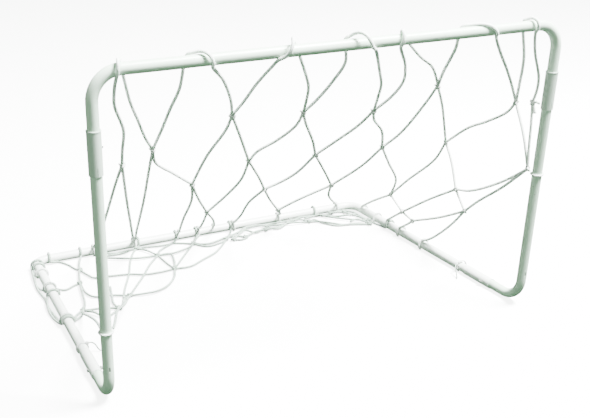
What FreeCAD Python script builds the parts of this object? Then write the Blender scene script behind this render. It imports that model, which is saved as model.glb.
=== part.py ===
# Small steel soccer goal with a knotted net.
# Frame: +X along the crossbar, +Y from the mouth to the rear bar, +Z up, millimetres.
# The origin is on the ground, below the middle of the goal's outline.
import FreeCAD, Part
import math
import os

from FreeCAD import Rotation, Vector

os.makedirs("parts", exist_ok=True)

# ---- driving dimensions -----------------------------------------------------
TUBE_OD = 25.0
TUBE_WALL = 1.0
SOCKET_OD = 28.0          # swaged end of each ground rail
SOCKET_BORE = 25.3
POST_SPACING = 1120.0     # between the post axes
POST_RUN = 725.0          # along a post, ground axis to crossbar axis
POST_LEAN = 2.0           # degrees, the top leans forward
GOAL_DEPTH = 800.0        # front corner to rear bar, axis to axis
REAR_WIDTH = 1060.0       # between the rear corners, so the rails converge
ARCH_BEND = 60.0
FOOT_BEND = 60.0
REAR_BEND = 40.0

SLEEVE_OD = 29.4
SLEEVE_BORE = 25.4
SLEEVE_LOW = 520.0        # heights along the post
SLEEVE_HIGH = 612.0
JOINT_HEIGHT = 559.0      # where the arch leg stands on the lower post
JOINT_GAP = 1.0
LIP_OD = 30.4
LIP_HEIGHT = 2.5
SLEEVE_SLIT_WIDTH = 1.4
SLEEVE_SLIT_LENGTH = 18.0

BUTTON_HEIGHT = 577.0
BUTTON_R = 3.5
BUTTON_HOLE_R = 3.8
BUTTON_PROUD = 2.5        # beyond the sleeve
BUTTON_FLANGE_R = 4.6
BUTTON_FLANGE = 1.2
SPRING_THICKNESS = 0.6
SPRING_WIDTH = 7.0
SPRING_RISE = 38.0

VENT_HEIGHT = 80.0        # slot in the front of each lower post
VENT_WIDTH = 3.0
VENT_LENGTH = 12.0

SOCKET_START = 108.0      # distances along a rail from its front corner
SOCKET_END = 212.0
SOCKET_TAPER = 10.0
STUB_END = 200.0
BOLT_AT = 137.0
BOLT_R = 2.5
BOLT_HOLE_R = 2.75
BOLT_HEAD_R = 4.6
BOLT_HEAD = 2.8
BOLT_HEAD_ROUND = 2.0
NUT_FLATS = 8.0
NUT_HEIGHT = 4.0

CORD = 3.6                # thickness of a net cord, a tie or a tail
KNOT_R = 4.0
KNOT_TILT = 50.0          # degrees from the top of the rail towards the inside
NET_THICKNESS = 2.0
NET_SAG = 30.0            # of the back panel, at the middle of its slope
NET_STEPS = 10
CLEAR = 1.0               # between the net panels and what they hang from

# ---- places that follow from them -------------------------------------------
TUBE_R = TUBE_OD / 2
GROUND_AXIS = SOCKET_OD / 2
LEAN = math.radians(POST_LEAN)
FRONT_Y = -(GOAL_DEPTH - POST_RUN * math.sin(LEAN)) / 2
REAR_Y = FRONT_Y + GOAL_DEPTH
UP = Vector(0, 0, 1)
POST_DIRECTION = Vector(0, -math.sin(LEAN), math.cos(LEAN))
SIDES = {"left": -1, "right": 1}


def front_corner(side):
    return Vector(side * POST_SPACING / 2, FRONT_Y, GROUND_AXIS)


def rear_corner(side):
    return Vector(side * REAR_WIDTH / 2, REAR_Y, GROUND_AXIS)


def on_post(side, height):
    return front_corner(side) + POST_DIRECTION * height


def rail_direction(side):
    return (rear_corner(side) - front_corner(side)).normalize()


def on_rail(side, distance):
    return front_corner(side) + rail_direction(side) * distance


def on_crossbar(x):
    point = on_post(1, POST_RUN)
    return Vector(x, point.y, point.z)


def save(node, shape):
    shape.exportStep("parts/%s.step" % node)
    print("%-20s %8.1f cm3 valid %s" % (node, shape.Volume / 1000, shape.isValid()))


# ---- building blocks --------------------------------------------------------
def rounded_wire(points, radii):
    """Straight runs through points, joined by a tangent arc at each inner point."""
    edges = []
    start = points[0]
    for before, corner, after, radius in zip(points, points[1:], points[2:], radii):
        back = (before - corner).normalize()
        ahead = (after - corner).normalize()
        half_turn = (math.pi - back.getAngle(ahead)) / 2
        reach = radius * math.tan(half_turn)
        first = corner + back * reach
        last = corner + ahead * reach
        to_centre = (back + ahead).normalize()
        middle = corner + to_centre * (radius / math.cos(half_turn) - radius)
        edges.append(Part.LineSegment(start, first).toShape())
        edges.append(Part.Arc(first, middle, last).toShape())
        start = last
    edges.append(Part.LineSegment(start, points[-1]).toShape())
    return Part.Wire(edges)


def swept_rod(points, radii, radius):
    section = Part.Wire(Part.makeCircle(radius, points[0], points[1] - points[0]))
    return rounded_wire(points, radii).makePipeShell([section], True, True)


def swept_tube(points, radii, outer_radius, wall):
    outer = swept_rod(points, radii, outer_radius)
    return outer.cut(swept_rod(points, radii, outer_radius - wall))


def cylinder(radius, start, end):
    return Part.makeCylinder(radius, (end - start).Length, start, end - start)


def cone(start_radius, end_radius, start, end):
    return Part.makeCone(start_radius, end_radius, (end - start).Length, start, end - start)


def ring(centre, axis, inner_radius, thickness):
    """Round cord bent into a closed ring around an axis."""
    return Part.makeTorus(inner_radius + thickness / 2, thickness / 2, centre, axis)


def slab(corners, thickness):
    """Flat plate of that thickness, centred on the plane through its corners."""
    normal = (corners[1] - corners[0]).cross(corners[2] - corners[0]).normalize()
    face = Part.Face(Part.makePolygon(corners + [corners[0]]))
    face.translate(normal * (-thickness / 2))
    return face.extrude(normal * thickness)


def strip(points, thickness, width):
    """Leaf of sheet metal that follows points in an XZ plane, with round turns."""
    across = Vector(0, width, 0)
    leaf = None
    for start, end in zip(points, points[1:]):
        side = (end - start).cross(across).normalize() * (thickness / 2)
        corners = [start + side, end + side, end - side, start - side]
        run = Part.Face(Part.makePolygon(corners + [corners[0]])).extrude(across)
        leaf = run if leaf is None else leaf.fuse(run)
    for point in points[1:-1]:
        leaf = leaf.fuse(Part.makeCylinder(thickness / 2, width, point, across))
    leaf.translate(-across / 2)
    return leaf.removeSplitter()


# ---- steel frame ------------------------------------------------------------
def in_post(shape, side):
    """Moves a shape made round the upright Z axis onto a leaning post."""
    shape.rotate(Vector(0, 0, 0), Vector(1, 0, 0), POST_LEAN)
    shape.translate(front_corner(side))
    return shape


def button_hole(side):
    start = Vector(0, 0, BUTTON_HEIGHT)
    return in_post(cylinder(BUTTON_HOLE_R, start, start + Vector(SLEEVE_OD, 0, 0)), side)


def crossbar_arch():
    points = [
        on_post(-1, JOINT_HEIGHT + JOINT_GAP),
        on_post(-1, POST_RUN),
        on_post(1, POST_RUN),
        on_post(1, JOINT_HEIGHT + JOINT_GAP),
    ]
    arch = swept_tube(points, [ARCH_BEND, ARCH_BEND], TUBE_R, TUBE_WALL)
    return arch.cut([button_hole(side) for side in SIDES.values()])


def bolt_hole(side):
    across = rail_direction(side).cross(UP) * SOCKET_OD
    centre = on_rail(side, BOLT_AT)
    return cylinder(BOLT_HOLE_R, centre - across, centre + across)


def lower_post(side):
    points = [on_post(side, JOINT_HEIGHT), front_corner(side), on_rail(side, STUB_END)]
    post = swept_tube(points, [FOOT_BEND], TUBE_R, TUBE_WALL)
    reach = (VENT_LENGTH - VENT_WIDTH) / 2
    low = Vector(0, 0, VENT_HEIGHT - reach)
    high = Vector(0, 0, VENT_HEIGHT + reach)
    forward = Vector(0, -TUBE_OD, 0)
    slot = Part.makeBox(VENT_WIDTH, TUBE_OD, 2 * reach, low + forward - Vector(VENT_WIDTH / 2, 0, 0))
    for end in (low, high):
        slot = slot.fuse(cylinder(VENT_WIDTH / 2, end + forward, end))
    return post.cut([in_post(slot, side), bolt_hole(side)])


def sleeve(side):
    low, high = Vector(0, 0, SLEEVE_LOW), Vector(0, 0, SLEEVE_HIGH)
    body = cylinder(SLEEVE_OD / 2, low, high)
    body = body.fuse(cylinder(LIP_OD / 2, high - UP * LIP_HEIGHT, high))
    body = body.removeSplitter()
    body = body.makeFillet(0.5, [edge for edge in body.Edges if edge.BoundBox.ZMin > SLEEVE_HIGH - 0.1])
    slit_corner = Vector(-SLEEVE_SLIT_WIDTH / 2, -SLEEVE_OD, SLEEVE_LOW - 1)
    slit = Part.makeBox(SLEEVE_SLIT_WIDTH, SLEEVE_OD, SLEEVE_SLIT_LENGTH + 1, slit_corner)
    body = in_post(body.cut([cylinder(SLEEVE_BORE / 2, low - UP, high + UP), slit]), side)
    return body.cut(button_hole(side))


def rear_ground_frame():
    start = SOCKET_END + SOCKET_TAPER
    points = [on_rail(-1, start), rear_corner(-1), rear_corner(1), on_rail(1, start)]
    frame = swept_tube(points, [REAR_BEND, REAR_BEND], TUBE_R, TUBE_WALL)
    bore, wall = SOCKET_BORE / 2, (SOCKET_OD - SOCKET_BORE) / 2
    for side in SIDES.values():
        mouth = on_rail(side, SOCKET_START)
        shoulder = on_rail(side, SOCKET_END)
        outer = cylinder(bore + wall, mouth, shoulder)
        outer = outer.fuse(cone(bore + wall, TUBE_R, shoulder, on_rail(side, start)))
        inner = cylinder(bore, mouth, shoulder)
        inner = inner.fuse(cone(bore, TUBE_R - TUBE_WALL, shoulder, on_rail(side, start)))
        frame = frame.fuse(outer.cut(inner)).cut(bolt_hole(side))
    return frame.removeSplitter()


# ---- snap buttons -----------------------------------------------------------
def flange_face():
    """How far out the button's flange reaches before it meets the round bore."""
    bore = TUBE_R - TUBE_WALL
    return math.sqrt(bore**2 - BUTTON_FLANGE_R**2) - 0.2


def snap_button(side):
    inside = flange_face()
    tip = SLEEVE_OD / 2 + BUTTON_PROUD
    base = Vector(inside - BUTTON_FLANGE, 0, BUTTON_HEIGHT)
    button = cylinder(BUTTON_FLANGE_R, base, Vector(inside, 0, BUTTON_HEIGHT))
    stem = cylinder(BUTTON_R, base, Vector(tip, 0, BUTTON_HEIGHT))
    rim = [edge for edge in stem.Edges if edge.BoundBox.XMin > tip - 0.1]
    button = button.fuse(stem.makeFillet(1.8, rim)).removeSplitter()
    return in_post(button, side)


def button_spring(side):
    leaf_x = flange_face() - BUTTON_FLANGE - 0.1 - SPRING_THICKNESS / 2
    far_x = 1.2 - (TUBE_R - TUBE_WALL)
    foot, top = BUTTON_HEIGHT - 5, BUTTON_HEIGHT + SPRING_RISE
    points = [
        Vector(leaf_x, 0, foot),
        Vector(leaf_x, 0, foot + 12),
        Vector(2.0, 0, top),
        Vector(-2.0, 0, top),
        Vector(far_x, 0, foot + 12),
        Vector(far_x, 0, foot),
    ]
    return in_post(strip(points, SPRING_THICKNESS, SPRING_WIDTH), side)


# ---- rail bolts -------------------------------------------------------------
def bolt_axis(side):
    """Outward across a rail: the bolt head is outside and the nut inside the goal."""
    return UP.cross(rail_direction(side)) * -side


def rail_bolt(side):
    out, centre = bolt_axis(side), on_rail(side, BOLT_AT)
    seat = SOCKET_OD / 2 + 0.1
    top = seat + BOLT_HEAD
    bolt = cylinder(BOLT_R, UP * -(SOCKET_OD / 2 + NUT_HEIGHT + 1.5), UP * (seat + 1))
    head = cylinder(BOLT_HEAD_R, UP * seat, UP * top)
    rim = [edge for edge in head.Edges if edge.BoundBox.ZMin > top - 0.1]
    bolt = bolt.fuse(head.makeFillet(BOLT_HEAD_ROUND, rim)).removeSplitter()
    bolt.rotate(Vector(0, 0, 0), UP.cross(out), 90)
    bolt.translate(centre)
    return bolt


def rail_nut(side):
    out = bolt_axis(side) * -1
    seat = on_rail(side, BOLT_AT) + out * (SOCKET_OD / 2 + 0.1)
    corner = NUT_FLATS / 2 / math.cos(math.pi / 6)
    along = rail_direction(side)
    up = out.cross(along)
    corners = []
    for step in range(7):
        angle = step * math.pi / 3
        corners.append(seat + along * (corner * math.cos(angle)) + up * (corner * math.sin(angle)))
    nut = Part.Face(Part.makePolygon(corners)).extrude(out * NUT_HEIGHT)
    return nut.cut(cylinder(BOLT_R + 0.05, seat - out, seat + out * (NUT_HEIGHT + 1)))


# ---- net --------------------------------------------------------------------
HEAD_LOOPS_X = [-496, -340, -147, 26, 127, 324, 475]
REAR_LOOPS_X = [-395, -230, -85, 0, 100, 250, 380, 465]
RAIL_LOOPS = {"left": [454, 560, 640], "right": [418, 532, 660]}
POST_TIES = {"left": 167, "right": 353}
RAIL_TIES = {"left": 246, "right": 238}
LOOP_INNER = TUBE_R + 0.2
UNDERSIDE_CUT = 9.0       # a lacing loop stops this far above the tube's underside


def net_back():
    """Panel that sags a little from the crossbar down to the rear bar."""
    high, low = on_crossbar(0), Vector(0, REAR_Y, GROUND_AXIS)
    slope = low - high
    inward = UP.cross(slope).cross(slope).normalize()
    margin = (TUBE_R + CORD + CLEAR) / slope.Length
    outer, inner = [], []
    for step in range(NET_STEPS + 1):
        along = margin + (1 - 2 * margin) * step / NET_STEPS
        point = high + slope * along + inward * (4 * NET_SAG * along * (1 - along))
        outer.append(point - inward * (NET_THICKNESS / 2))
        inner.append(point + inward * (NET_THICKNESS / 2))
    outline = outer + inner[::-1] + outer[:1]
    panel = Part.Face(Part.makePolygon(outline)).extrude(Vector(GOAL_DEPTH * 2, 0, 0))
    panel.translate(Vector(-GOAL_DEPTH, 0, 0))
    front, rear = FRONT_Y - TUBE_OD, REAR_Y
    corners = [Vector(-512, front, 0), Vector(490, front, 0), Vector(505, rear, 0), Vector(-395, rear, 0)]
    edges = Part.Face(Part.makePolygon(corners + corners[:1])).extrude(UP * GOAL_DEPTH)
    return panel.common(edges)


def side_plane(y, z, inset=0.0):
    """Point above the right rail, at a distance y behind the front corner."""
    along = y / GOAL_DEPTH
    x = POST_SPACING / 2 + (REAR_WIDTH - POST_SPACING) / 2 * along - inset
    return Vector(x, FRONT_Y + y, z)


def net_side_right():
    """Panel between the right post, the right rail and the back panel."""
    bottom = GROUND_AXIS + TUBE_R + CORD + CLEAR
    corners = [side_plane(20, 640), side_plane(26, 360), side_plane(395, bottom), side_plane(735, bottom)]
    return slab(corners, NET_THICKNESS)


def net_ground_slack():
    """Slack net that lies on the ground along the left rail and the rear bar."""
    inner = [(-505, 300), (-420, 300), (-330, 480), (-60, 660), (470, 700), (480, 770), (-480, 770)]
    base = 1.0
    corners = [Vector(x, FRONT_Y + y, base) for x, y in inner]
    face = Part.Face(Part.makePolygon(corners + [corners[0]]))
    return face.extrude(UP * (2 * CORD))


def net_head_loops():
    loops = [ring(on_crossbar(x), Vector(1, 0, 0), LOOP_INNER, CORD) for x in HEAD_LOOPS_X]
    return Part.makeCompound(loops)


def net_lacing_loops():
    """Net cords laced over the rear bar and the rails, open where the tube meets the ground."""
    loops = [ring(Vector(x, REAR_Y, GROUND_AXIS), Vector(1, 0, 0), LOOP_INNER, CORD) for x in REAR_LOOPS_X]
    for name, side in SIDES.items():
        for distance in RAIL_LOOPS[name]:
            loops.append(ring(on_rail(side, distance), rail_direction(side), LOOP_INNER, CORD))
    size = 2 * GOAL_DEPTH
    below = Part.makeBox(size, size, size, Vector(-size / 2, -size / 2, UNDERSIDE_CUT - size))
    return Part.makeCompound([loop.cut(below) for loop in loops])


def post_tie(name):
    return ring(on_post(SIDES[name], POST_TIES[name]), POST_DIRECTION, LOOP_INNER, CORD)


def rail_tie(name):
    """Tie over the rail, with its knot on top; it is flat under the tube."""
    side = SIDES[name]
    centre = on_rail(side, RAIL_TIES[name])
    tie = ring(centre, rail_direction(side), LOOP_INNER, CORD)
    size = 4 * TUBE_OD
    below = Part.makeBox(size, size, size, Vector(centre.x - size / 2, centre.y - size / 2, -size + 2))
    return tie.cut(below).fuse(Part.makeSphere(KNOT_R, tail_route(name)[0]))


def tail_route(name):
    """Centre line of a tie's loose end, from the knot to its cut end on the ground."""
    inward = -SIDES[name]
    tilt = math.radians(KNOT_TILT)
    reach = LOOP_INNER + KNOT_R
    knot = on_rail(SIDES[name], RAIL_TIES[name])
    knot += Vector(inward * reach * math.sin(tilt), 0, reach * math.cos(tilt))
    steps = {
        "left": [(0, 0, 0), (8, -2, 1.5), (15, -4, -2), (20, -6, -9), (24, -9, -18), (28, -13, -21.5)],
        "right": [
            (0, 0, 0), (7.5, -3, 2.5), (14, -8, 0), (18, -15, -5),
            (21, -23, -12), (25, -32, -19), (31, -41, -21.8),
        ],
    }[name]
    return [knot + Vector(inward * across, along, rise) for across, along, rise in steps]


def tie_tail(name):
    points = tail_route(name)
    radii = []
    for before, corner, after in zip(points, points[1:], points[2:]):
        turn = (corner - before).getAngle(after - corner)
        shorter = min((corner - before).Length, (after - corner).Length)
        radii.append(0.45 * shorter / math.tan(turn / 2))
    print("tail", name, "radii", [round(radius, 1) for radius in radii])
    tail = swept_rod(points, radii, CORD / 2)
    length = rounded_wire(points, radii).Length
    print("  length %.1f, volume over section %.1f" % (length, tail.Volume / (math.pi * CORD**2 / 4)))
    return tail.cut(Part.makeSphere(KNOT_R, points[0]))


# ---- write every node -------------------------------------------------------
save("crossbar_arch", crossbar_arch())
save("rear_ground_frame", rear_ground_frame())
for name, side in SIDES.items():
    save("lower_post_" + name, lower_post(side))
    save("sleeve_" + name, sleeve(side))
    save("snap_button_" + name, snap_button(side))
    save("button_spring_" + name, button_spring(side))
    save("rail_bolt_" + name, rail_bolt(side))
    save("rail_nut_" + name, rail_nut(side))
    save("post_tie_" + name, post_tie(name))
    save("rail_tie_" + name, rail_tie(name))
    save("tie_tail_" + name, tie_tail(name))
save("net_back", net_back())
save("net_side_right", net_side_right())
save("net_ground_slack", net_ground_slack())
save("net_head_loops", net_head_loops())
save("net_lacing_loops", net_lacing_loops())
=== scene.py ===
"""Small steel soccer goal with a slack knotted net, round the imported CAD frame."""
import math
import random

import bpy
from mathutils import Matrix, Vector


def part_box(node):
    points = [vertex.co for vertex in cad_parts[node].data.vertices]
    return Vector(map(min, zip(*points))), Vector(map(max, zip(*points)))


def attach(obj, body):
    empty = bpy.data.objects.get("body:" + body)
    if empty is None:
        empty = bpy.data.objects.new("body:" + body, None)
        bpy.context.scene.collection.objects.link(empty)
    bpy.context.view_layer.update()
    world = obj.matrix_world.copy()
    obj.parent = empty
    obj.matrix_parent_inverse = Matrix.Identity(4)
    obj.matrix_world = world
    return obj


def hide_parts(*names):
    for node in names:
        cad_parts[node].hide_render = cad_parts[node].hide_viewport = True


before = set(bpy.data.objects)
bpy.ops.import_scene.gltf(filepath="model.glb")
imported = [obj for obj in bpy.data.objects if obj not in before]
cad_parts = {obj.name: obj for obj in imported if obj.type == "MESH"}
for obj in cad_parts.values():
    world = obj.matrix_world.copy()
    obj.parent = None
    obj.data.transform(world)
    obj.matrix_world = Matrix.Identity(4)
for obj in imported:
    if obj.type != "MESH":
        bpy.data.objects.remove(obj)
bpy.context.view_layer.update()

MM = 0.001

# ---- the frame's main lines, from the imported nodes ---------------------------
TUBE_R = 12.5 * MM
GOAL_DEPTH = 0.8
arch_low, arch_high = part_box("crossbar_arch")
rear_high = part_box("rear_ground_frame")[1]
foot_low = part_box("lower_post_right")[0]
POST_X = arch_high[0] - TUBE_R
TOP_Y = arch_low[1] + TUBE_R
TOP_Z = arch_high[2] - TUBE_R
REAR_Y = rear_high[1] - TUBE_R
FRONT_Y = REAR_Y - GOAL_DEPTH
GROUND = foot_low[2] + TUBE_R
REAR_X = 0.53
SLOPE = Vector((0, REAR_Y - TOP_Y, GROUND - TOP_Z))
INWARD = Vector((0, SLOPE.z, -SLOPE.y)).normalized()
LEAN = Vector((0, TOP_Y - FRONT_Y, TOP_Z - GROUND)).normalized()
NET_SAG = 0.030

CORD_R = 3.3 * MM            # slack net on the ground, and the lacing
HANGING_R = 3.8 * MM         # hanging net, plumper where nothing presses it
POST_TIE_R = 2.4 * MM
TIE_R = 1.8 * MM             # ties round the rails and their loose ends
KNOT_CORD_R = 0.95 * CORD_R


def link(obj):
    bpy.context.scene.collection.objects.link(obj)
    return obj


def on_post(side, height):
    return Vector((side * POST_X, FRONT_Y, GROUND)) + LEAN * height


def rail_direction(side):
    return Vector((side * (REAR_X - POST_X), GOAL_DEPTH, 0)).normalized()


def on_rail(side, distance):
    return Vector((side * POST_X, FRONT_Y, GROUND)) + rail_direction(side) * distance


# ---- camera -------------------------------------------------------------------
CAMERA_PLACE = (-1.0515, -2.1652, 1.1561)
CAMERA_YAW = math.radians(25.622)
CAMERA_PITCH = math.radians(24.140)
CAMERA_ROLL = math.radians(-0.05)


def photo_camera():
    data = bpy.data.cameras.new("photo_view")
    data.sensor_fit = "HORIZONTAL"
    data.sensor_width = 36.0
    data.lens = 59.31
    data.shift_x, data.shift_y = 0.0609, 0.0885
    data.clip_end = 50.0
    yaw, pitch, roll = CAMERA_YAW, CAMERA_PITCH, CAMERA_ROLL
    forward = Vector((math.sin(yaw) * math.cos(pitch), math.cos(yaw) * math.cos(pitch), -math.sin(pitch)))
    right = Vector((math.cos(yaw), -math.sin(yaw), 0))
    up = right.cross(forward)
    right, up = right * math.cos(roll) + up * math.sin(roll), up * math.cos(roll) - right * math.sin(roll)
    turn = Matrix((right, up, -forward)).transposed().to_4x4()
    camera = link(bpy.data.objects.new("photo_view", data))
    camera.matrix_world = Matrix.Translation(CAMERA_PLACE) @ turn
    bpy.context.scene.camera = camera


photo_camera()

# ---- the ties' loose ends: free cords on the CAD route --------------------------
RAIL_TIES = {"left": 0.246, "right": 0.238}
SIDES = {"left": -1, "right": 1}
KNOT_TILT = math.radians(50)
KNOT_R = 4.0 * MM
TAIL_STEPS = {
    "left": [(0, 0, 0), (8, -2, 1.5), (15, -4, -2), (20, -6, -9), (24, -9, -18), (28, -13, -21.5)],
    "right": [
        (0, 0, 0), (7.5, -3, 2.5), (14, -8, 0), (18, -15, -5),
        (21, -23, -12), (25, -32, -19), (31, -41, -21.8),
    ],
}


def tail_route(name):
    side = SIDES[name]
    reach = TUBE_R + 0.2 * MM + KNOT_R
    knot = on_rail(side, RAIL_TIES[name])
    knot += Vector((-side * reach * math.sin(KNOT_TILT), 0, reach * math.cos(KNOT_TILT)))
    return [knot + Vector((-side * across, along, rise)) * MM for across, along, rise in TAIL_STEPS[name]]


def tail(name):
    points = tail_route(name)
    curve = bpy.data.curves.new("tie_tail_line_" + name, "CURVE")
    curve.dimensions = "3D"
    curve.bevel_depth = TIE_R
    curve.bevel_resolution = 4
    curve.use_fill_caps = True
    spline = curve.splines.new("NURBS")
    spline.points.add(len(points) - 1)
    for place, point in zip(spline.points, points):
        place.co = (*point, 1.0)
    spline.order_u = 3
    spline.use_endpoint_u = True
    spline.resolution_u = 12
    return link(bpy.data.objects.new("tie_tail_cord_" + name, curve))


# ---- building cords ------------------------------------------------------------
def smooth_line(points, step):
    """Points along a smooth line through the given ones, about a step apart."""
    line = []
    padded = [points[0] * 2 - points[1]] + list(points) + [points[-1] * 2 - points[-2]]
    for a, b, c, d in zip(padded, padded[1:], padded[2:], padded[3:]):
        gaps = [max((q - p).length, 1e-6) ** 0.5 for p, q in ((a, b), (b, c), (c, d))]
        leave = (b - a) / gaps[0] - (c - a) / (gaps[0] + gaps[1]) + (c - b) / gaps[1]
        arrive = (c - b) / gaps[1] - (d - b) / (gaps[1] + gaps[2]) + (d - c) / gaps[2]
        leave, arrive = leave * gaps[1], arrive * gaps[1]
        count = max(1, round((c - b).length / step))
        for k in range(count):
            t = k / count
            line.append(
                b * (2 * t**3 - 3 * t**2 + 1) + leave * (t**3 - 2 * t**2 + t)
                + c * (3 * t**2 - 2 * t**3) + arrive * (t**3 - t**2)
            )
    line.append(points[-1].copy())
    return line


class Cords:
    """Collects cord tubes with braid ridges and a length-wise UV into one mesh."""

    SIDES = 8

    def __init__(self):
        self.verts, self.faces, self.uvs = [], [], []

    def add(self, line, radius, ridges=0.10, pitch=0.011):
        """Tube along a dense line. Ridges turn both ways round it, as a braid's do."""
        normal = None
        along = 0.0
        first = len(self.verts)
        n = self.SIDES
        lowest = radius * (1 + ridges)
        line = [Vector((point.x, point.y, max(point.z, lowest))) for point in line]
        for i, point in enumerate(line):
            ahead = line[min(i + 1, len(line) - 1)] - line[max(i - 1, 0)]
            ahead.normalize()
            if normal is None:
                normal = ahead.orthogonal().normalized()
            normal = (normal - ahead * normal.dot(ahead)).normalized()
            side = ahead.cross(normal)
            if i:
                along += (point - line[i - 1]).length
            for k in range(n):
                angle = 2 * math.pi * k / n
                wave = math.sin(2 * angle + 2 * math.pi * along / pitch)
                wave *= math.sin(2 * angle - 2 * math.pi * along / pitch)
                r = radius * (1 + ridges * wave)
                self.verts.append(point + (normal * math.cos(angle) + side * math.sin(angle)) * r)
            if i:
                low = first + (i - 1) * n
                for k in range(n):
                    m = (k + 1) % n
                    self.faces.append((low + k, low + m, low + n + m, low + n + k))
                    v0, v1 = along - (point - line[i - 1]).length, along
                    self.uvs.append([(k / n, v0), ((k + 1) / n, v0), ((k + 1) / n, v1), (k / n, v1)])
        self.cap(list(range(first + n - 1, first - 1, -1)))
        last = first + (len(line) - 1) * n
        self.cap(list(range(last, last + n)))

    def cap(self, ring):
        self.faces.append(tuple(ring))
        self.uvs.append([(0.0, 0.0)] * len(ring))

    def piece(self, name):
        mesh = bpy.data.meshes.new(name)
        mesh.from_pydata([tuple(v) for v in self.verts], [], self.faces)
        layer = mesh.uv_layers.new(name="along")
        layer.data.foreach_set("uv", [x for face in self.uvs for uv in face for x in uv])
        mesh.polygons.foreach_set("use_smooth", [True] * len(mesh.polygons))
        mesh.update()
        return link(bpy.data.objects.new(name, mesh))


STRAND_STEP = 3 * MM
KNOT_SIZE = 6.2 * MM
KNOT_TURN = 2.1              # a trefoil repeats each third of a turn
KNOT_SAMPLES = 42
KNOT_FLATNESS = 0.42
GROUND_KNOT_HEIGHT = 7


def knot_line(centre, axis, size, turn=0.0):
    """Trefoil about an axis, flattened like a pulled knot, as an open line that ends where it starts."""
    axis = axis.normalized()
    x = axis.orthogonal().normalized()
    y = axis.cross(x)
    x, y = x * math.cos(turn) + y * math.sin(turn), y * math.cos(turn) - x * math.sin(turn)
    line = []
    for k in range(KNOT_SAMPLES + 1):
        t = 2 * math.pi * k / KNOT_SAMPLES
        a = (math.sin(t) + 2 * math.sin(2 * t)) / 3
        b = (math.cos(t) - 2 * math.cos(2 * t)) / 3
        line.append(centre + (x * a + y * b) * size - axis * (math.sin(3 * t) * size * KNOT_FLATNESS))
    return line


# ---- net surfaces ---------------------------------------------------------------
def back(x, down):
    """Point of the back net: x along the crossbar, distance down the slope, in mm."""
    t = down * MM / SLOPE.length
    return Vector((x * MM, TOP_Y, TOP_Z)) + SLOPE * t + INWARD * (4 * NET_SAG * t * (1 - t))


def right(y, z):
    """Point of the right side net: distance behind the front corner and height, in mm."""
    x = POST_X + (REAR_X - POST_X) * y * MM / GOAL_DEPTH
    return Vector((x, FRONT_Y + y * MM, z * MM))


def floor(x, y, z=3):
    """Point on the ground: x, distance behind the front corner, height of the cord's middle, in mm."""
    return Vector((x * MM, FRONT_Y + y * MM, z * MM))


def space(x, y, z):
    return Vector((x * MM, FRONT_Y + y * MM, z * MM))


KNOTS = {
    "k0": back(-420, 405), "k1": back(-360, 345), "k2": back(-200, 230), "k3": back(-10, 260),
    "k4": back(200, 300), "k5": back(340, 215), "k8": back(-195, 595), "k9": back(-70, 495),
    "k10": back(-70, 865), "k11": back(130, 520), "k13": back(60, 730), "k14": back(345, 540),
    "k15": back(305, 800), "k16": back(205, 985),
    "k6": right(90, 525), "k7": right(32, 538), "k12": right(22, 370), "k17": right(350, 350),
    "k18": right(595, 115), "k19": right(290, 230), "k20": right(530, 80), "k21": right(245, 180),
    "k22": right(475, 70),
}

# Each head line goes round the crossbar between two knots. A row gives where it crosses
# in front and behind, how far it stands above the bar, then each side's knot and way up.
HEAD = [
    (-512, -498, 4, "k0", [back(-435, 325), back(-450, 235), back(-490, 125), back(-500, 70)],
     "k1", [back(-390, 285), back(-425, 200), back(-460, 115)]),
    (-316, -359, 4, "k2", [back(-225, 160), back(-265, 80)],
     "k1", [back(-360, 250), back(-361, 170), back(-359, 90)]),
    (-170, -124, 17, "k2", [back(-190, 180), back(-180, 105), back(-165, 50)],
     "k3", [back(-20, 220), back(-40, 150), back(-65, 100)]),
    (56, -4, 15, "k4", [back(180, 235), back(160, 175), back(130, 120)],
     "k3", [back(5, 205), back(15, 130), back(15, 60)]),
    (120, 134, 5, "k4", [back(220, 240), back(220, 175), back(190, 105)],
     "k5", [back(320, 185), back(270, 120), back(210, 70)]),
    (372, 294, 1, "k6", [space(495, 45, 594), space(445, 10, 644), space(405, -15, 684)],
     "k5", [back(320, 150), back(309, 95), back(300, 55)]),
    (484, 466, 5, "k7", [space(552, 14, 574), space(540, 0, 609), space(500, -22, 680)],
     "k6", [space(540, 65, 574), space(515, 30, 649)]),
]

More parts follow.
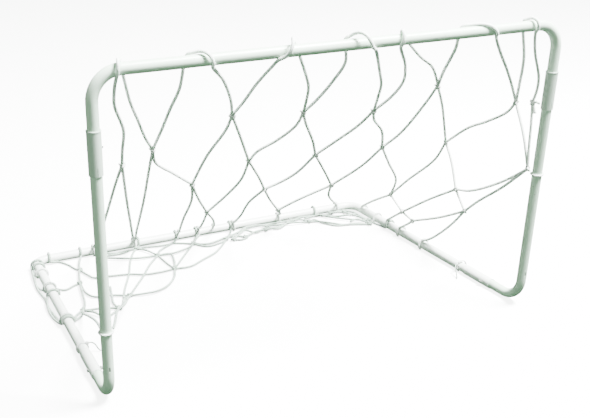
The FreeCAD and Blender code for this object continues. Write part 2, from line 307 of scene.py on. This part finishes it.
# Strands between two knots, with the points that they pass.
STRANDS = [
    ("k1", "k8", [back(-335, 420), back(-275, 495)]),
    ("k2", "k8", [back(-195, 295), back(-205, 420)]),
    ("k2", "k9", [back(-150, 330)]),
    ("k8", "k10", [back(-140, 720)]),
    ("k3", "k9", [back(-5, 325), back(-30, 390), back(-65, 440)]),
    ("k3", "k11", [back(15, 310), back(85, 430)]),
    ("k9", "k10", [back(-50, 620), back(-55, 725)]),
    ("k9", "k13", [back(5, 625)]),
    ("k4", "k11", [back(190, 370), back(165, 435)]),
    ("k4", "k14", [back(225, 350), back(285, 425)]),
    ("k11", "k13", [back(120, 635), back(95, 690)]),
    ("k11", "k15", [back(235, 685)]),
    ("k13", "k16", [back(125, 850)]),
    ("k5", "k14", [back(350, 300), back(360, 460)]),
    ("k5", "k17", [space(410, 195, 509)]),
    ("k14", "k15", [back(340, 665)]),
    ("k14", "k18", [space(415, 430, 284), space(500, 515, 194)]),
    ("k15", "k16", [back(240, 895)]),
    ("k6", "k17", [right(115, 495), right(190, 450), right(260, 415)]),
    ("k6", "k12", [right(50, 450)]),
    ("k7", "k12", [right(28, 480), right(26, 420)]),
    ("k17", "k18", [right(390, 290), right(510, 190)]),
    ("k17", "k19", [right(320, 305)]),
    ("k18", "k20", []),
    ("k12", "k19", [right(115, 305), right(230, 245)]),
    ("k12", "k21", [right(105, 295), right(195, 225)]),
    ("k19", "k20", [right(400, 165)]),
    ("k19", "k21", []),
    ("k20", "k22", []),
    ("k21", "k22", [right(350, 125)]),
]

# Strands that end round the rear bar: knot, way down, and where on the bar.
TO_BAR = [
    ("k0", [back(-415, 505), back(-395, 725), back(-370, 960)], -355),
    ("k0", [back(-360, 635), back(-270, 960)], -232),
    ("k1", [back(-345, 445), back(-310, 655), back(-262, 940)], -226),
    ("k8", [back(-160, 720), back(-135, 885), back(-110, 1010)], -85),
    ("k10", [back(-50, 960)], -20),
    ("k10", [back(-20, 960)], 30),
    ("k13", [back(50, 825), back(75, 980)], 95),
    ("k15", [back(345, 905), back(420, 1020)], 465),
    ("k16", [back(235, 1040)], 252),
]

# Trimmed ends that stick out of a knot.
SHORT_ENDS = [
    ("k7", [right(20, 542), right(9, 541)]),
    ("k7", [right(25, 525), right(19, 513)]),
]

# Strands that end round the right rail: knot, way down, and the distance along the rail.
TO_RAIL = [
    ("k18", [right(690, 62)], 742),
    ("k20", [right(570, 52)], 602),
    ("k21", [right(300, 118), right(385, 45)], 418),
    ("k22", [right(500, 50)], 532),
]


LOOSE_RISE = 10              # a loop that stands higher than this slants evenly over the bar
LATE_TRAVEL = 2.2            # a tight one goes straight up the front, then along the top


def round_crossbar(x_front, x_back, rise):
    """Cord from under the crossbar, up its front, over it and down behind."""
    first, last, count = math.radians(-49), math.radians(131), 8
    line = []
    for k in range(count + 1):
        t = k / count
        angle = first + (last - first) * t
        r = TUBE_R + HANGING_R + rise * MM * math.sin(math.pi * t) ** 2
        travel = t if rise > LOOSE_RISE else t ** LATE_TRAVEL
        x = (x_front + (x_back - x_front) * travel) * MM
        line.append(Vector((x, TOP_Y - r * math.cos(angle), TOP_Z + r * math.sin(angle))))
    return line


# Angles, in degrees, where turns round the ground tubes start and end.
FROM_ABOVE, FROM_BESIDE, FROM_BELOW = 70, -8, -52
TO_UNDER, TO_NEARLY_UNDER, TO_OUTER_SIDE = 232, 212, 190


def round_ground_tube(centre, inside, first, last, drift):
    """Cord over a tube that lies on the ground, between two angles measured up from its inner side."""
    line = []
    count = 7
    r = TUBE_R + HANGING_R
    for k in range(count + 1):
        t = k / count
        angle = math.radians(first + (last - first) * t)
        out, up = r * math.cos(angle), r * math.sin(angle)
        line.append(centre + drift * (t - 0.5) + inside * out + Vector((0, 0, up)))
    return line


def on_bar(x):
    return Vector((x * MM, REAR_Y, GROUND))


def build_net():
    hanging, knots = Cords(), Cords()

    def run(points):
        hanging.add(smooth_line(points, STRAND_STEP), HANGING_R)

    for x_front, x_back, rise, front_knot, way_up, back_knot, way_back in HEAD:
        over = round_crossbar(x_front, x_back, rise)
        run([KNOTS[front_knot]] + way_up + over + way_back[::-1] + [KNOTS[back_knot]])
    for start, end, way in STRANDS:
        run([KNOTS[start]] + way + [KNOTS[end]])
    inside = Vector((0, -1, 0))
    for start, way, x in TO_BAR:
        over = round_ground_tube(on_bar(x), inside, FROM_ABOVE, TO_UNDER, Vector((6 * MM, 0, 0)))
        run([KNOTS[start]] + way + over)
    inside = Vector((-1, 0, 0))
    for start, way, distance in TO_RAIL:
        drift = rail_direction(1) * (6 * MM)
        over = round_ground_tube(on_rail(1, distance * MM), inside, FROM_ABOVE, TO_UNDER, drift)
        run([KNOTS[start]] + way + over)
    for knot, way in SHORT_ENDS:
        run([KNOTS[knot]] + way)
    rng = random.Random(11)
    for name, centre in KNOTS.items():
        axis = Vector((0, -0.66, 0.75)) if name in BACK_KNOTS else Vector((-1, 0.1, 0.1))
        knots.add(knot_line(centre, axis, KNOT_SIZE, rng.uniform(0, KNOT_TURN)), KNOT_CORD_R)
    return hanging, knots


BACK_KNOTS = {"k0", "k1", "k2", "k3", "k4", "k5", "k8", "k9", "k10", "k11", "k13", "k14", "k15", "k16"}

hanging, knots = build_net()
net = hanging.piece("net_hanging_strands")
net_knots = knots.piece("net_knots")

# ---- net on the ground -----------------------------------------------------------
GROUND_KNOTS = [
    (-425, 700), (-450, 618), (-488, 455), (-230, 780), (-190, 705), (-180, 595), (-65, 740),
    (-350, 485), (-400, 425), (40, 728), (58, 716), (100, 719), (180, 742), (288, 775), (335, 745),
    (478, 772), (512, 672), (498, 645), (432, 780),
]

# Runs of slack net: places on the ground (x, distance behind the front corner), with a
# height where the cord is lifted. "bar" is a turn over the rear bar, "rail" one over the
# left rail from inside, "over_rail" one from outside, "right_rail" one over the right rail.
GROUND_RUNS = [
    [("bar", -488), (-465, 785, 5), (-445, 755), (-435, 720), (-425, 700)],
    [(-425, 700), (-415, 660), (-405, 635), (-385, 630), (-310, 615), (-270, 595), (-230, 590),
     (-180, 595)],
    [("bar", -396), (-412, 755), (-430, 695), (-450, 618), (-462, 555), (-475, 485), (-488, 455),
     (-515, 428), ("rail", 405)],
    [("rail", 745), (-556, 700, 6), (-561, 662, 4), (-559, 635, 4), ("over_rail", 604),
     (-495, 597), (-465, 614), (-450, 618)],
    [(-450, 618), (-452, 550), (-440, 520), (-420, 512), (-390, 505), (-350, 485)],
    [(-488, 455), (-470, 445), (-435, 440), (-400, 425)],
    [(-488, 455), (-468, 425, 9), (-445, 395), (-400, 425)],
    [("rail", 768), (-553, 735, 9), (-559, 690, 9), (-565, 625, 5), (-562, 560, 5), (-565, 515, 4),
     (-563, 455, 4), ("over_rail", 402), (-505, 418, 8), (-488, 455)],
    [("rail", 560), (-566, 520, 9), (-571, 470, 5), (-568, 430, 5), ("over_rail", 392)],
    [("bar", -330), (-305, 775, 5), (-275, 778), (-230, 780)],
    [(-335, 770, 4), (-280, 763), (-245, 778), (-230, 780)],
    [(-360, 760, 4), (-330, 745), (-285, 720), (-245, 705), (-190, 705)],
    [("bar", -218), (-230, 780), (-240, 770), (-270, 715), (-310, 615), (-350, 530), (-370, 480)],
    [(-230, 780), (-200, 776), (-160, 768), (-120, 772), ("bar", -98)],
    [(-230, 780), (-210, 750), (-190, 705)],
    [(-118, 772), (-90, 760), (-65, 740)],
    [(-118, 772), (-175, 732), (-190, 705)],
    [(-190, 705), (-230, 655), (-280, 580), (-320, 525), (-350, 485)],
    [(-190, 705), (-185, 640), (-180, 595)],
    [(-190, 705), (-155, 700), (-162, 645), (-180, 595)],
    [(-190, 705), (-145, 696), (-115, 704), (-85, 716), (-65, 740)],
    [(-180, 595), (-130, 660), (-85, 716), (-65, 740)],
    [(-180, 595), (-135, 590), (-80, 620), (-30, 650), (0, 680), (40, 728)],
    [(-180, 595), (-205, 535), (-245, 490), (-280, 475), (-305, 475), (-350, 485)],
    [(-350, 485), (-370, 475), (-382, 450), (-400, 425)],
    [(-382, 560), (-395, 505), (-405, 455), (-400, 425)],
    [(-65, 740), (-40, 772), ("bar", -25)],
    [(-65, 740), (-30, 706), (20, 716), (40, 728)],
    [("bar", -32), (-55, 755, 5), (-50, 730), (-20, 720), (30, 736), (58, 750), ("bar", 82)],
    [(40, 728), (58, 740), (90, 758), (135, 778), (180, 778), (230, 777), (262, 776), (288, 775)],
    [(58, 716), (85, 708), (103, 718), (80, 740), (52, 742), (40, 728)],
    [(58, 716), (100, 752, 8), (118, 760, 9), (145, 736), (185, 754, 8), (220, 736), (262, 758, 8),
     (288, 775)],
    [(100, 719), (145, 738, 9), (180, 742), (230, 745), (285, 768, 9), (318, 768), (335, 745)],
    [(335, 745), (355, 748, 8), (372, 718), (400, 682), (445, 670), (498, 645)],
    [(335, 745), (362, 735), (386, 702, 9), (420, 678), (462, 667), (498, 645)],
    [(335, 775), (372, 778), (388, 776, 9), (415, 745), (445, 716), (478, 690), (512, 672)],
    [(395, 772), (432, 780), (470, 782, 8), (496, 776), (508, 755), (509, 715), (512, 672)],
    [(478, 772), (490, 740), (503, 704), (505, 668), (498, 645)],
    [(455, 692), (475, 690, 9), (490, 676), (498, 645)],
    [(90, 758), (120, 776, 9), (165, 780, 10), (200, 768, 7), (240, 765)],
    [(240, 765), (275, 752, 10), (335, 745)],
    [(288, 775), (320, 780, 10), (385, 779, 5), (402, 770), (445, 776, 9), (478, 772)],
    [(512, 672), (520, 640), (526, 610), ("right_rail", 590)],
    [("bar", 380), (400, 770, 9), (432, 752, 5), (470, 735, 9), (506, 742)],
]
TIE_RUNS = [
    [(-350, 485), (-372, 440, 20), (-415, 330, 62), (-460, 235, 102), (-512, 90, 146), (-534, 28, 168)],
    [(-488, 455), (-497, 420, 14), (-505, 345, 44), (-528, 190, 108), (-552, 62, 152), (-568, 16, 172)],
]


def build_ground_net():
    lying, knots = Cords(), Cords()
    outward, across = Vector((0, -1, 0)), Vector((1, 0, 0))
    for number, route in enumerate(GROUND_RUNS + TIE_RUNS):
        points = []
        for index, place in enumerate(route):
            if place[0] == "bar":
                drift = across * (5 * MM)
                turn = round_ground_tube(on_bar(place[1]), outward, FROM_BESIDE, TO_NEARLY_UNDER, drift)
                points += turn[::-1] if index == 0 else turn
            elif place[0] in ("rail", "over_rail"):
                centre, drift = on_rail(-1, place[1] * MM), rail_direction(-1) * (5 * MM)
                turn = round_ground_tube(centre, across, FROM_BESIDE, TO_OUTER_SIDE, drift)
                points += turn[::-1] if place[0] == "over_rail" else turn
            elif place[0] == "right_rail":
                centre, drift = on_rail(1, place[1] * MM), rail_direction(1) * (5 * MM)
                points += round_ground_tube(centre, -across, FROM_BESIDE, TO_NEARLY_UNDER, drift)
            elif len(place) == 3:
                points.append(floor(*place))
            else:
                # Runs lie at three heights, so that one passes over the next; ends meet at knots.
                middle = 0 < index < len(route) - 1
                lift = 0.3 + 1.9 * (number % 3) if middle else 1.5
                points.append(floor(*place, CORD_R / MM + lift))
        lying.add(smooth_line(points, STRAND_STEP), CORD_R)
    rng = random.Random(5)
    axis = Vector((0.1, -0.2, 1))
    for place in GROUND_KNOTS:
        centre = floor(*place, GROUND_KNOT_HEIGHT)
        knots.add(knot_line(centre, axis, KNOT_SIZE, rng.uniform(0, KNOT_TURN)), KNOT_CORD_R)
    return lying, knots


lying, ground_knots = build_ground_net()
ground_net = lying.piece("net_ground_strands")
net_ground_knots = ground_knots.piece("net_ground_knots")

# ---- lacing and ties ---------------------------------------------------------------
REAR_LOOPS_X = [-355, -228, -25, 95, 252, 465]
RAIL_LOOPS = {"left": [404, 604, 705], "right": [418, 532, 660]}
POST_TIES = {"left": 0.167, "right": 0.353}


def build_lacing():
    lacing = Cords()
    for x in REAR_LOOPS_X:
        drift = Vector((7 * MM, 0, 0))
        line = round_ground_tube(on_bar(x), Vector((0, -1, 0)), FROM_BELOW, TO_UNDER, drift)
        lacing.add(smooth_line(line, STRAND_STEP), CORD_R)
    for name, side in SIDES.items():
        for distance in RAIL_LOOPS[name]:
            centre, drift = on_rail(side, distance * MM), rail_direction(side) * (7 * MM)
            line = round_ground_tube(centre, Vector((-side, 0, 0)), FROM_BELOW, TO_UNDER, drift)
            lacing.add(smooth_line(line, STRAND_STEP), CORD_R)
    return lacing.piece("net_lacing_turns")


def ring(centre, axis, reach, climb):
    """One turn of cord round a tube, its end beside its start."""
    x = axis.orthogonal().normalized()
    y = axis.cross(x)
    line = []
    steps = 28
    for k in range(steps + 1):
        angle = 2 * math.pi * k / steps
        across = x * (reach * math.cos(angle)) + y * (reach * math.sin(angle))
        line.append(centre + across + axis * (climb * k / steps))
    return line


def build_post_tie(name):
    centre = on_post(SIDES[name], POST_TIES[name])
    tie = Cords()
    tie.add(ring(centre, LEAN, TUBE_R + POST_TIE_R, 1.5 * MM), POST_TIE_R)
    return tie.piece("post_tie_cord_" + name)


TIE_SLACK = {"left": 0.0, "right": 4 * MM}     # how far the ring stands off the rail


def build_rail_tie(name):
    side = SIDES[name]
    tie = Cords()
    centre = on_rail(side, RAIL_TIES[name])
    for shift in (-1.6 * MM, 1.6 * MM):
        line = []
        count = 20
        for k in range(count + 1):
            angle = math.radians(-52 + 284 * k / count)
            r = TUBE_R + TIE_R + TIE_SLACK[name] * math.sin(math.pi * k / count) ** 2
            line.append(centre + rail_direction(side) * shift
                        + Vector((-side * r * math.cos(angle), 0, r * math.sin(angle))))
        tie.add(line, TIE_R)
    tie.add(knot_line(tail_route(name)[0], Vector((0, 1, 0.1)), 4.4 * MM), TIE_R)
    return tie.piece("rail_tie_cord_" + name)


lacing = build_lacing()
post_ties = {name: build_post_tie(name) for name in SIDES}
rail_ties = {name: build_rail_tie(name) for name in SIDES}
tails = {name: tail(name) for name in SIDES}


# ---- materials ------------------------------------------------------------------------
class Graph:
    """Short way to build a node material."""

    def __init__(self, name):
        self.material = bpy.data.materials.new(name)
        self.material.use_nodes = True
        self.tree = self.material.node_tree
        self.shader = self.tree.nodes["Principled BSDF"]

    def node(self, kind, inputs=None, **settings):
        node = self.tree.nodes.new(kind)
        for key, value in settings.items():
            setattr(node, key, value)
        for key, value in (inputs or {}).items():
            socket = node.inputs[key]
            if isinstance(value, bpy.types.NodeSocket):
                self.tree.links.new(value, socket)
            else:
                socket.default_value = value
        return node

    def place(self):
        return self.node("ShaderNodeTexCoord").outputs["Object"]

    def scaled(self, vector, scale):
        return self.node("ShaderNodeMapping", {"Vector": vector, "Scale": scale}).outputs[0]

    def noise(self, vector, scale, detail=4.0, rough=0.55):
        inputs = {"Vector": vector, "Scale": scale, "Detail": detail, "Roughness": rough}
        return self.node("ShaderNodeTexNoise", inputs).outputs["Fac"]

    def ramp(self, factor, low, high):
        node = self.node("ShaderNodeMapRange", {"Value": factor, "From Min": low, "From Max": high})
        return node.outputs["Result"]

    def mix(self, factor, one, two):
        node = self.node("ShaderNodeMix", {"Factor": factor}, data_type="RGBA")
        for index, value in ((6, one), (7, two)):
            if isinstance(value, bpy.types.NodeSocket):
                self.tree.links.new(value, node.inputs[index])
            else:
                node.inputs[index].default_value = (*value, 1.0)
        return node.outputs[2]

    def math(self, operation, a, b=0.0):
        node = self.node("ShaderNodeMath", operation=operation)
        for index, value in enumerate((a, b)):
            if isinstance(value, bpy.types.NodeSocket):
                self.tree.links.new(value, node.inputs[index])
            else:
                node.inputs[index].default_value = value
        return node.outputs[0]

    def bump(self, height, strength, distance):
        node = self.node("ShaderNodeBump", {"Height": height, "Strength": strength, "Distance": distance})
        return node.outputs["Normal"]

    def finish(self, colour, roughness, normal=None, **values):
        for key, value in (("Base Color", colour), ("Roughness", roughness), ("Normal", normal)):
            if isinstance(value, bpy.types.NodeSocket):
                self.tree.links.new(value, self.shader.inputs[key])
            elif value is not None:
                self.shader.inputs[key].default_value = value
        for key, value in values.items():
            self.shader.inputs[key.replace("_", " ")].default_value = value
        return self.material


def paint(name, light, shade, worn, chips):
    """White enamel on steel tube: fine orange peel, faint clouds, a few chips and scuffs."""
    g = Graph(name)
    place = g.place()
    clouds = g.ramp(g.noise(place, 9.0), 0.3, 0.7)
    colour = g.mix(clouds, light, shade)
    scuffs = g.noise(g.scaled(place, (1.0, 1.0, 0.25)), 260.0, 3.0, 0.7)
    colour = g.mix(g.math("MULTIPLY", g.ramp(scuffs, 0.62, 0.72), 0.45), colour, worn)
    spots = g.node("ShaderNodeTexVoronoi", {"Vector": place, "Scale": 70.0}).outputs["Distance"]
    few = g.ramp(g.noise(place, 14.0, 2.0), 0.56, 0.66)
    spot = g.math("MULTIPLY", g.ramp(spots, 0.11, 0.06), few)
    colour = g.mix(g.math("MULTIPLY", spot, chips), colour, (0.20, 0.19, 0.16))
    rough = g.ramp(g.noise(place, 40.0, 3.0), -0.6, 2.2)
    peel = g.noise(place, 520.0, 2.0, 0.5)
    height = g.math("SUBTRACT", peel, g.math("MULTIPLY", spot, 2.0))
    return g.finish(colour, rough, g.bump(height, 0.25, 0.0004), Specular_IOR_Level=0.5,
                    Coat_Weight=0.15, Coat_Roughness=0.2)


def metal(name, colour, dull, rough_low, rough_high):
    """Bare or plated steel with fine drawing lines and dull patches."""
    g = Graph(name)
    place = g.place()
    patches = g.ramp(g.noise(place, 180.0, 5.0), 0.35, 0.65)
    tone = g.mix(patches, colour, dull)
    lines = g.noise(g.scaled(place, (1.0, 1.0, 14.0)), 700.0, 3.0)
    limits = {"Value": lines, "To Min": rough_low, "To Max": rough_high}
    rough = g.node("ShaderNodeMapRange", limits).outputs["Result"]
    return g.finish(tone, rough, g.bump(lines, 0.12, 0.0001), Metallic=1.0)


PLAIT_PITCH = 5.5 * MM


def braid(name, light, shade):
    """Plaited polyester cord: strands cross both ways round it, soft and a little dirty; the crossings
    between the plaits are darkened with painted shade.
    """
    g = Graph(name)
    uv = g.node("ShaderNodeUVMap", uv_map="along").outputs["UV"]
    parts = g.node("ShaderNodeSeparateXYZ", {"Vector": uv}).outputs
    across = g.math("MULTIPLY", parts[0], 8 * math.pi)
    along = g.math("MULTIPLY", parts[1], 2 * math.pi / PLAIT_PITCH)
    one = g.math("SINE", g.math("ADD", across, along))
    two = g.math("SINE", g.math("SUBTRACT", across, along))
    plait = g.math("MULTIPLY", g.math("MULTIPLY", one, two), 0.5)
    plait = g.math("ADD", plait, 0.5)
    place = g.place()
    clouds = g.ramp(g.noise(place, 30.0, 4.0), 0.35, 0.7)
    colour = g.mix(clouds, light, shade)
    # painted shade: a darker copy of the cord colour is laid into the plait's crossings, where shadow would
    # fall
    painted_crease_shade = tuple(c * 0.45 for c in shade)
    colour = g.mix(g.math("MULTIPLY", g.ramp(plait, 0.42, 0.05), 0.85), colour, painted_crease_shade)
    fuzz = g.noise(place, 2600.0, 2.0, 0.7)
    height = g.math("ADD", plait, g.math("MULTIPLY", fuzz, 0.25))
    return g.finish(colour, 0.82, g.bump(height, 0.5, 0.0006), Sheen_Weight=0.25, Sheen_Roughness=0.5,
                    Subsurface_Weight=0.85, Subsurface_Scale=0.005, Subsurface_Radius=(1.0, 1.0, 1.0))


def tail_braid(name, light, shade):
    """The same cord for the ties' thin ends, which have no length-wise layer: twisted lines in space, their
    grooves darkened with painted shade.
    """
    g = Graph(name)
    place = g.place()
    wave = g.node("ShaderNodeTexWave", {"Vector": place, "Scale": 260.0, "Distortion": 1.5, "Detail": 1.0},
                  bands_direction="DIAGONAL").outputs["Fac"]
    clouds = g.ramp(g.noise(place, 40.0, 4.0), 0.35, 0.7)
    colour = g.mix(clouds, light, shade)
    # painted shade: the grooves between the twisted lines are darkened
    colour = g.mix(g.math("MULTIPLY", g.ramp(wave, 0.3, 0.0), 0.5), colour, tuple(c * 0.5 for c in shade))
    return g.finish(colour, 0.82, g.bump(wave, 0.5, 0.0005), Sheen_Weight=0.25, Sheen_Roughness=0.5)


WHITE = (0.66, 0.81, 0.68)
WHITE_SHADE = (0.59, 0.74, 0.61)
tube_paint = paint("white_enamel", WHITE, WHITE_SHADE, (0.50, 0.58, 0.50), 0.8)
# painted light: the frame on the ground is a lighter copy of the same white enamel, standing in for light
# bounced up from the floor
ground_paint_painted_bounce_light = paint("ground_frame_enamel_painted_bounce_light", (0.89, 0.93, 0.89), (0.84, 0.89, 0.84), (0.62, 0.68, 0.62), 0.7)
sleeve_paint = paint("sleeve_enamel", (0.54, 0.64, 0.56), (0.48, 0.58, 0.50), (0.34, 0.41, 0.35), 0.6)
zinc = metal("zinc_plate", (0.62, 0.64, 0.62), (0.42, 0.44, 0.41), 0.28, 0.5)
button_steel = metal("button_steel", (0.56, 0.57, 0.56), (0.44, 0.45, 0.44), 0.2, 0.4)
spring_steel = metal("spring_steel", (0.32, 0.34, 0.36), (0.22, 0.23, 0.25), 0.25, 0.45)
net_cord = braid("net_braid", (0.90, 0.94, 0.90), (0.76, 0.83, 0.78))
# painted shade: the net lying on the ground gets a much darker copy of the hanging net's cord colour,
# standing in for its shade and contact shadows
ground_cord_painted_shade = braid("ground_net_braid_painted_shade", (0.34, 0.42, 0.36), (0.25, 0.33, 0.27))
knot_cord = braid("knot_braid", (0.88, 0.92, 0.88), (0.76, 0.82, 0.77))
# painted shade: the ties' loose ends near the ground get a much darker copy of the tie rings' cord colour,
# like the net on the ground
tie_cord = tail_braid("tie_braid_painted_shade", (0.36, 0.45, 0.38), (0.27, 0.35, 0.29))

NODE_FINISH = {
    "crossbar_arch": tube_paint, "rear_ground_frame": ground_paint_painted_bounce_light,
    "lower_post_left": tube_paint, "lower_post_right": tube_paint,
    "sleeve_left": sleeve_paint, "sleeve_right": sleeve_paint,
    "snap_button_left": button_steel, "snap_button_right": button_steel,
    "button_spring_left": spring_steel, "button_spring_right": spring_steel,
    "rail_bolt_left": zinc, "rail_bolt_right": zinc, "rail_nut_left": zinc, "rail_nut_right": zinc,
}
for node, finish in NODE_FINISH.items():
    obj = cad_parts[node]
    if not obj.material_slots:
        obj.data.materials.append(finish)
    for place in obj.material_slots:
        place.material = finish


def dress(piece, finish, nodes=()):
    piece.data.materials.append(finish)
    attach(piece, "goal")
    if nodes:
        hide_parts(*nodes)


dress(net, net_cord, ["net_back", "net_side_right", "net_head_loops"])
dress(net_knots, knot_cord)
dress(ground_net, ground_cord_painted_shade, ["net_ground_slack"])
dress(net_ground_knots, ground_cord_painted_shade)
dress(lacing, knot_cord, ["net_lacing_loops"])
for name in SIDES:
    dress(post_ties[name], knot_cord, ["post_tie_" + name])
    dress(rail_ties[name], knot_cord, ["rail_tie_" + name])
    dress(tails[name], tie_cord, ["tie_tail_" + name])
    tail_route(name)[0]


# ---- floor and light ---------------------------------------------------------------
FLOOR_HALF = 150.0
FLOOR_GLOW = 6.0
KEY_PLACE, KEY_SIZE, KEY_POWER = (1.8, -1.15, 4.45), 1.8, 3400.0
WORLD_STRENGTH = 1.5
# World colour by height of the direction, from straight down (0) to straight up (1).
WORLD_STOPS = [
    (0.0, (0.03, 0.11, 0.045)), (0.47, (0.08, 0.24, 0.11)), (0.488, (0.88, 0.97, 0.90)),
    (0.60, (0.82, 0.92, 0.83)), (0.72, (0.26, 0.36, 0.28)),
]


def studio():
    mesh = bpy.data.meshes.new("studio_floor")
    size = FLOOR_HALF
    corners = [(-size, -size, 0), (size, -size, 0), (size, size, 0), (-size, size, 0)]
    mesh.from_pydata(corners, [], [(0, 1, 2, 3)])
    ground = link(bpy.data.objects.new("studio_floor", mesh))
    g = Graph("pale_floor")
    tone = g.ramp(g.noise(g.place(), 1.2, 2.0), 0.2, 0.8)
    g.finish(g.mix(tone, (0.93, 0.94, 0.93), (0.91, 0.925, 0.915)), 0.9, Emission_Strength=FLOOR_GLOW)
    g.shader.inputs["Emission Color"].default_value = (1.0, 1.0, 1.0, 1.0)
    ground.data.materials.append(g.material)
    ground.visible_diffuse = False
    ground.visible_glossy = False
    data = bpy.data.lights.new("key_light", "AREA")
    data.shape = "SQUARE"
    data.size = KEY_SIZE
    data.energy = KEY_POWER
    lamp = link(bpy.data.objects.new("key_light", data))
    lamp.location = KEY_PLACE
    lamp.rotation_euler = (Vector((0, 0, 0.3)) - Vector(KEY_PLACE)).to_track_quat("-Z", "Y").to_euler()
    world = bpy.context.scene.world or bpy.data.worlds.new("studio_world")
    bpy.context.scene.world = world
    world.use_nodes = True
    tree = world.node_tree
    sky = tree.nodes["Background"]
    direction = tree.nodes.new("ShaderNodeTexCoord").outputs["Generated"]
    parts = tree.nodes.new("ShaderNodeSeparateXYZ")
    tree.links.new(direction, parts.inputs[0])
    ramp = tree.nodes.new("ShaderNodeValToRGB")
    rescale = tree.nodes.new("ShaderNodeMapRange")
    rescale.inputs["From Min"].default_value = -1.0
    tree.links.new(parts.outputs[2], rescale.inputs["Value"])
    tree.links.new(rescale.outputs["Result"], ramp.inputs["Fac"])
    stops = WORLD_STOPS
    while len(ramp.color_ramp.elements) > 1:
        ramp.color_ramp.elements.remove(ramp.color_ramp.elements[0])
    ramp.color_ramp.elements[0].position = stops[0][0]
    ramp.color_ramp.elements[0].color = (*stops[0][1], 1.0)
    for at, colour in stops[1:]:
        ramp.color_ramp.elements.new(at).color = (*colour, 1.0)
    tree.links.new(ramp.outputs["Color"], sky.inputs["Color"])
    sky.inputs["Strength"].default_value = WORLD_STRENGTH


studio()
